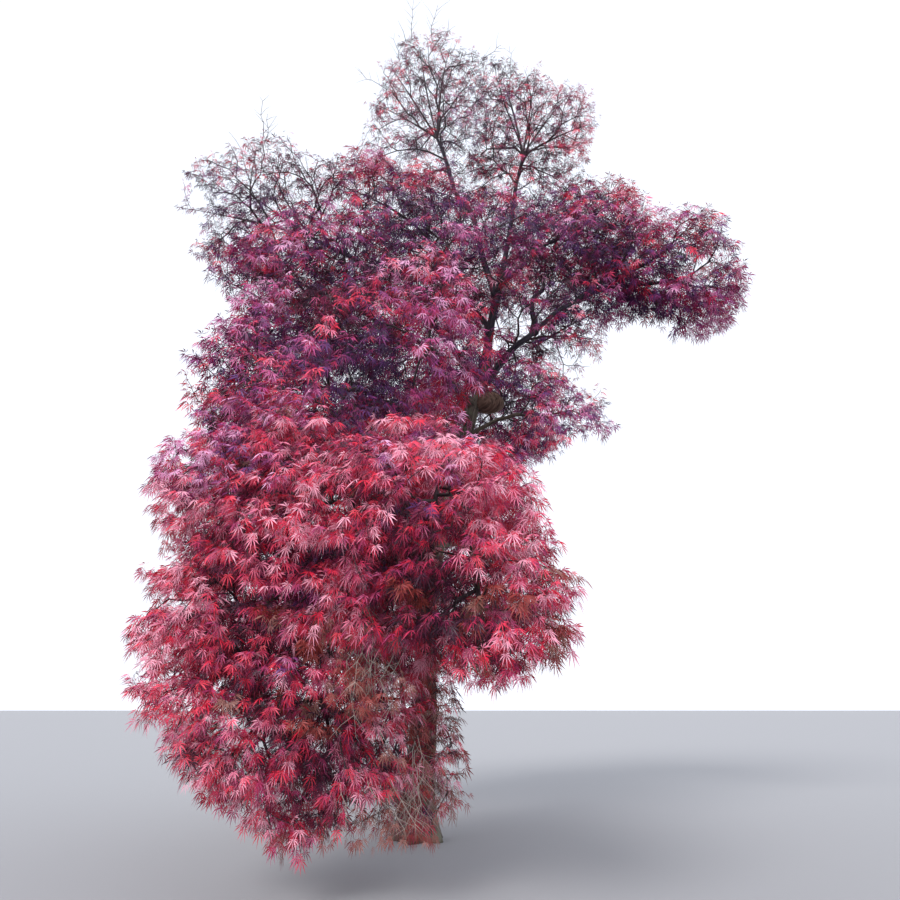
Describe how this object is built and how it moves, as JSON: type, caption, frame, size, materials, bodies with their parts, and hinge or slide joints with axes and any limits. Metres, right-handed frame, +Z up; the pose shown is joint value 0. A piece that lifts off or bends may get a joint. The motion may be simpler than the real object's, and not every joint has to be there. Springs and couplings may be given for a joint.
{
  "type": "japanese maple tree",
  "caption": "Old weeping red maple with a leaning, flared trunk, arching boughs and a lacy crimson crown that cascades towards its front, cut flat at ground level",
  "frame": {"origin": "middle of the flat cut under the trunk, at ground level", "axes": "+Z up along the tree's height, -Y towards the viewer of the picture, the side that the crown cascades to, +X to that viewer's right"},
  "size_m": [5.7555, 5.2618, 8.0752],
  "materials": {
    "bark": "grey-brown bark, matt, finely fissured",
    "foliage": "thin crimson autumn leaves with a soft satin sheen"
  },
  "bodies": {
    "root": {"trunk": "bark", "trunk_knot": "bark", "bough_back": "bark", "bough_back_high": "bark", "bough_back_left": "bark", "bough_back_left_high": "bark", "bough_back_left_low": "bark", "bough_back_low": "bark", "bough_back_right": "bark", "bough_back_right_high": "bark", "bough_back_right_low": "bark", "bough_centre": "bark", "bough_crown_left": "bark", "bough_crown_right": "bark", "bough_front_high": "bark", "bough_front_left": "bark", "bough_front_low": "bark", "bough_left_high": "bark", "bough_left_low": "bark", "bough_middle_left": "bark", "bough_middle_left_high": "bark", "bough_right_airy": "bark", "bough_right_low": "bark", "bough_right_tier": "bark", "bough_right_tip": "bark", "bough_skirt_left": "bark", "bough_skirt_right": "bark", "bough_upper_left": "bark", "bough_upper_middle": "bark", "bough_upper_right": "bark", "foliage_back": "foliage", "foliage_back_high": "foliage", "foliage_back_left": "foliage", "foliage_back_left_high": "foliage", "foliage_back_left_low": "foliage", "foliage_back_low": "foliage", "foliage_back_right": "foliage", "foliage_back_right_high": "foliage", "foliage_back_right_low": "foliage", "foliage_centre": "foliage", "foliage_crown_left": "foliage", "foliage_crown_right": "foliage", "foliage_front_high": "foliage", "foliage_front_left": "foliage", "foliage_front_low": "foliage", "foliage_left_high": "foliage", "foliage_left_low": "foliage", "foliage_middle_left": "foliage", "foliage_middle_left_high": "foliage", "foliage_right_airy": "foliage", "foliage_right_low": "foliage", "foliage_right_tier": "foliage", "foliage_right_tip": "foliage", "foliage_skirt_left": "foliage", "foliage_skirt_right": "foliage", "foliage_upper_left": "foliage", "foliage_upper_middle": "foliage", "foliage_upper_right": "foliage"}
  },
  "joints": []
}
